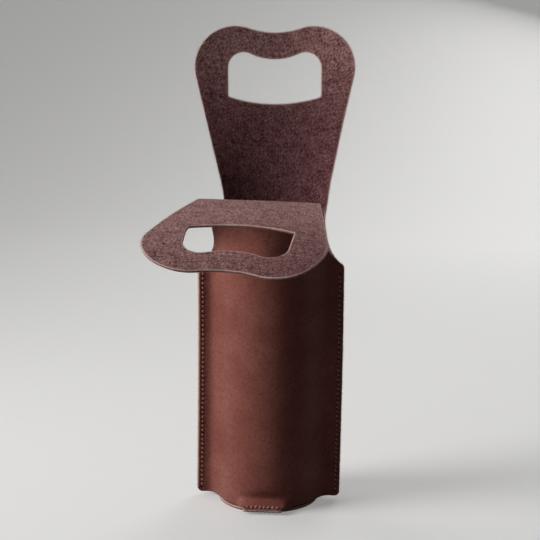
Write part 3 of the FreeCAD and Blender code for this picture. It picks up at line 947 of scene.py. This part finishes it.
def makeThread():
    material, tree, shader = startMaterial("waxedThread", {"Roughness": 0.55})
    lay = readMark(tree, "lay", "Vector")
    part = addNode(tree, "ShaderNodeSeparateXYZ", {0: lay})
    turns = work(tree, "MULTIPLY_ADD", part.outputs[0], 1.15, work(tree, "MULTIPLY", part.outputs[1], 2.0))
    ply = spread(tree, work(tree, "PINGPONG", turns, 0.5), 0.0, 0.4)
    lint = spread(tree, addNoise(tree, lay, scale=4.0, detail=2.0), 0.2, 0.6, 0.6, 1.0)
    colour = mixColour(tree, work(tree, "MULTIPLY", ply, lint), finish["threadDark"], finish["threadLight"])
    tree.links.new(colour, shader.inputs["Base Color"])
    addBump(tree, shader, ply, strength=0.5, distance=0.0001)
    return material


grainLeather = makeGrainLeather()
napLeather = makeNapLeather()
cutLeather = makeCutLeather()
looseFibre = makeLooseFibre()
waxedThread = makeThread()
print("leather and thread finishes ready")

# The two panels, each one piece of leather from the foot to the handle

frontPanel, frontRooms = makePanel("front_leather", frontBend)
backPanel, backRooms = makePanel("back_leather", backBend)
print("panels:", len(frontPanel.data.polygons), "and", len(backPanel.data.polygons), "faces")
frontFibres = makeFibres("front_fibres", frontRooms, frontBend)
backFibres = makeFibres("back_fibres", backRooms, backBend)
fibreFaces = fuzz["sides"] + 1
print("loose fibres:", *(len(piece.data.polygons) // fibreFaces for piece in (frontFibres, backFibres)))

# Base disc with its two tabs

base = {
    "radius": 42.0,
    "cell": 2.6,
    "tabLift": 2.3,  # the tab rises a little to meet the panel's foot
    "liftFrom": 39.2,
    "liftOver": 5.5,
    "tabThickness": 1.68,
    "rows": 17,
    "seamLines": (-3.6, -1.5, -0.8, -0.4, 0, 0.4, 0.8, 1.5),
    "hideFrom": 500.0,  # cut from another place on the hide
}
tabSeamPlace = leatherPoint(0, tabSeam, frontBend)
tabSeamY = -tabSeamPlace.y


def baseLines():
    acrossLines = [base["cell"] * step for step in range(1, int(base["radius"] / base["cell"]) + 1)]
    alongLines = [base["cell"] * step for step in range(-base["rows"], base["rows"] + 1)]
    for side in (-1, 1):
        alongLines += [side * (tabSeamY + off) for off in base["seamLines"]]
    return acrossLines, sorted(alongLines)


def underTab(along):
    rise = ease((abs(along) - base["liftFrom"]) / base["liftOver"])
    thickness = hide["thickness"] + (base["tabThickness"] - hide["thickness"]) * rise
    return base["tabLift"] * rise, thickness


def makeBase():
    bm = cutSheet(drawBase, *baseLines())
    pattern = bm.verts.layers.float_vector.new("pattern")
    # how near a needle hole, for the painted shade in the holes
    needle = bm.verts.layers.float.new("needle")
    markSides(bm)
    for vert in bm.verts:
        across, height, along = vert.co.x, vert.co.y, vert.co.z
        vert[pattern] = (across, along + base["hideFrom"], height)
        lift, thickness = underTab(along)
        share = height / hide["thickness"] + 0.5
        if height < -sewing["grainSide"] and abs(across) < tabHalf + sewing["tabPast"]:
            off = abs(along) - tabSeamY
            furrow, vert[needle] = needleMark(off, across, -tabHalf, sewing["tabPitch"], sewing["tabCount"])
            lift += furrow
        vert.co = (across, along, lift + share * thickness)
    return finishPiece("base_leather", bm, [grainLeather, napLeather, cutLeather])


baseDisc = makeBase()
print("base:", len(baseDisc.data.polygons), "faces")

# Sewing: every stitch is a short arch of thread that dives into the leather at both ends

def stitchShape():
    half = sewing["pitch"] / 2 - sewing["gap"]
    rise = sewing["crown"] + sewing["bury"]
    radius = (half**2 + rise**2) / (2 * rise)
    sweep = 2 * math.asin(half / radius)
    bm = bmesh.new()
    ring = bmesh.ops.create_circle(bm, cap_ends=True, segments=sewing["ringSides"],
                                   radius=sewing["threadRadius"])["verts"]
    bmesh.ops.rotate(bm, verts=ring, cent=(0, 0, 0), matrix=Matrix.Rotation(math.pi / 2, 3, "Y"))
    bmesh.ops.translate(bm, verts=ring, vec=(0, 0, sewing["crown"]))
    hub = Vector((0, 0, sewing["crown"] - radius))
    bmesh.ops.rotate(bm, verts=ring, cent=hub, matrix=Matrix.Rotation(-sweep / 2, 3, "Y"))
    bmesh.ops.spin(bm, geom=everyPart(bm), cent=hub, axis=(0, 1, 0), angle=sweep, steps=sewing["archSteps"])
    bmesh.ops.recalc_face_normals(bm, faces=bm.faces[:])
    lay = bm.verts.layers.float_vector.new("lay")
    for vert in bm.verts:
        arm = vert.co - hub
        along = math.atan2(arm.x, arm.z)
        around = math.atan2(vert.co.y, math.hypot(arm.x, arm.z) - radius)
        vert[lay] = (along * radius, around / math.tau, 0)
    return meshFrom("stitch", bm)


oneStitch = stitchShape()
chance = random.Random(4)


def sewRow(name, start, along, outward, pitch, count, bold, stretch=1.0):
    bm = bmesh.new()
    lay = bm.verts.layers.float_vector.new("lay")
    sideways = outward.cross(along)
    for index in range(count):
        before = len(bm.verts)
        bm.from_mesh(oneStitch)
        bm.verts.ensure_lookup_table()
        stitch = bm.verts[before:]
        slant = sewing["slant"] + chance.uniform(-sewing["slantPlay"], sewing["slantPlay"])
        run = (along + sideways * slant).normalized()
        turn = Matrix((run, outward.cross(run), outward)).transposed().to_4x4()
        height = chance.uniform(-sewing["heightPlay"], sewing["heightPlay"])
        middle = start + along * (pitch * (index + 0.5)) + outward * height
        size = Matrix.Diagonal((stretch * pitch / sewing["pitch"], bold, bold, 1))
        bmesh.ops.transform(bm, matrix=Matrix.Translation(middle) @ turn @ size, verts=stitch)
        for vert in stitch:
            vert[lay].z = index * sewing["layStep"]
    for vert in bm.verts:
        vert.co = settle(vert.co)
    for face in bm.faces:
        face.smooth = True
    return finishPiece(name, bm, [waxedThread])


flangeFace = hide["flangeDepth"] + halfThickness
threads = {}
for sideName, side in (("left", -1), ("right", 1)):
    for layerName, facing in (("needle", -1), ("bobbin", 1)):
        start = Vector((side * sewing["seamX"], facing * flangeFace, sewing["seamBottom"]))
        threads[f"{sideName}_seam_{layerName}_thread"] = sewRow(
            f"{sideName}_{layerName}_stitches", start, Vector((0, 0, 1)), Vector((0, facing, 0)),
            sewing["pitch"], sewing["count"], sewing["seamBold"])
tabTop = tabSeamPlace.z + halfThickness * skive(tabSeam)
tabFoot = underTab(tabSeamY)[0] + sewing["tabUnder"]
tabLayers = (("needle", 1, tabTop, sewing["tabBold"]), ("bobbin", -1, tabFoot, 1.0))
for endName, end in (("front", -1), ("back", 1)):
    for layerName, facing, height, bold in tabLayers:
        start = Vector((-tabHalf, end * tabSeamY, height))
        threads[f"{endName}_tab_{layerName}_thread"] = sewRow(
            f"{endName}_tab_{layerName}_stitches", start, Vector((1, 0, 0)), Vector((0, 0, facing)),
            sewing["tabPitch"], sewing["tabCount"], bold, sewing["tabStretch"])
bpy.data.meshes.remove(oneStitch)
print("sewing:", len(threads), "rows of stitches")

# What each piece stands for; the base and the stitches ride on the body

foldEnd = foldStart + frontBend["tightRadius"] * frontBend["tightTurn"]
bendFrom = leatherPoint(0, foldStart, frontBend) * toMetres
bendTo = leatherPoint(0, foldEnd, frontBend) * toMetres
for piece in (frontPanel, frontFibres):
    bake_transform(piece)
for piece in (backPanel, backFibres):
    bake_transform(piece)
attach(baseDisc, "body")
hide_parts("front_panel", "front_handle")
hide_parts("back_panel", "back_handle")
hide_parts("base_disc")
for node, row in threads.items():
    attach(row, "body")
    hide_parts(node)

# Studio: a pale sweep, a large soft light from the left and a camera where the photograph was taken

studio = {
    "reach": 6.0,
    "wallAt": 2.2,
    "wallHeight": 3.0,
    "sweepRadius": 0.9,
    "sweepSteps": 24,
    "lamps": {  # direction it comes from, distance, size, power, how widely it fans out
        "keyLight": ((-0.86, -0.29, 0.41), 1.7, 1.0, 6.3, 75),
        "frontFill": ((-0.7, -0.68, 0.3), 2.2, 1.4, 2.0, 180),
        "topLight": ((-0.45, 0.4, 0.8), 1.9, 1.0, 7.0, 180),
        "backLight": ((0.25, 0.88, 0.4), 2.0, 1.2, 14.0, 180),
    },
    "worldLevel": 0.04,
    "worldSeen": 0.46,
    "floorSeen": 0.26,
    "cameraAt": (0.1176, -1.0940, 0.4018),
    "cameraDown": 10.53,
    "cameraTurn": 6.064,
    "focalPixels": 1342.2,
    "imagePixels": 540,
}


def seenDirectly(tree):
    path = addNode(tree, "ShaderNodeLightPath").outputs
    seen = work(tree, "MAXIMUM", path["Is Camera Ray"], path["Is Glossy Ray"])
    return work(tree, "MAXIMUM", seen, path["Is Transmission Ray"])


def makeSweep():
    material, tree, shader = startMaterial("paleFloor", {
        "Roughness": 0.75, "Specular IOR Level": 0.25, "Emission Color": (1, 0.995, 0.985, 1),
    })
    coords = addNode(tree, "ShaderNodeTexCoord").outputs["Object"]
    paler = tuple(min(1.0, value * 1.03) for value in finish["floor"])
    colour = mixColour(tree, addNoise(tree, coords, scale=3.0, detail=4.0), finish["floor"], paler)
    seen = seenDirectly(tree)
    tree.links.new(mixColour(tree, seen, finish["floorBounce"], colour), shader.inputs["Base Color"])
    tree.links.new(work(tree, "MULTIPLY", seen, studio["floorSeen"]), shader.inputs["Emission Strength"])
    bm = bmesh.new()
    corner = bmesh.ops.create_grid(bm, x_segments=1, y_segments=1, size=studio["reach"])
    back = [edge for edge in bm.edges if all(vert.co.y > 0 for vert in edge.verts)]
    for vert in corner["verts"]:
        if vert.co.y > 0:
            vert.co.y = studio["wallAt"]
    raised = bmesh.ops.extrude_edge_only(bm, edges=back)["geom"]
    upper = [part for part in raised if isinstance(part, bmesh.types.BMVert)]
    bmesh.ops.translate(bm, verts=upper, vec=(0, 0, studio["wallHeight"]))
    bmesh.ops.bevel(bm, geom=back, offset=studio["sweepRadius"], offset_type="OFFSET", affect="EDGES",
                    segments=studio["sweepSteps"], profile=0.5, material=-1)
    for face in bm.faces:
        face.smooth = True
    mesh = meshFrom("sweep", bm)
    mesh.materials.append(material)
    sweep = addObject("sweep", mesh)


def addSoftLight(name, direction, away, size, power, fan):
    light = bpy.data.lights.new(name, "AREA")
    light.shape = "DISK"
    light.size = size
    light.energy = power
    light.spread = math.radians(fan)
    lamp = addObject(name, light)
    towards = Vector(direction).normalized()
    lamp.location = Vector((0, 0, cadHigh.z / 2)) + towards * away
    lamp.rotation_euler = towards.to_track_quat("Z", "Y").to_euler()
    lamp.visible_camera = False  # no bright disc in the other views


def addCamera():
    camera = bpy.data.cameras.new("camera")
    camera.sensor_width = 36.0
    camera.lens = studio["focalPixels"] / studio["imagePixels"] * camera.sensor_width
    eye = addObject("camera", camera)
    eye.location = studio["cameraAt"]
    eye.rotation_euler = (math.radians(90 - studio["cameraDown"]), 0, math.radians(studio["cameraTurn"]))
    bpy.context.scene.camera = eye


def addWorld():
    world = bpy.data.worlds.new("studio")
    world.use_nodes = True
    tree = world.node_tree
    strength = work(tree, "MULTIPLY_ADD", seenDirectly(tree), studio["worldSeen"] - studio["worldLevel"],
                    studio["worldLevel"])
    tree.links.new(strength, tree.nodes["Background"].inputs["Strength"])
    tree.nodes["Background"].inputs["Color"].default_value = (1, 1, 1, 1)
    bpy.context.scene.world = world


makeSweep()
for lampName, lampSetting in studio["lamps"].items():
    addSoftLight(lampName, *lampSetting)
addCamera()
addWorld()
bpy.context.scene.view_settings.view_transform = "Standard"
print("studio ready")
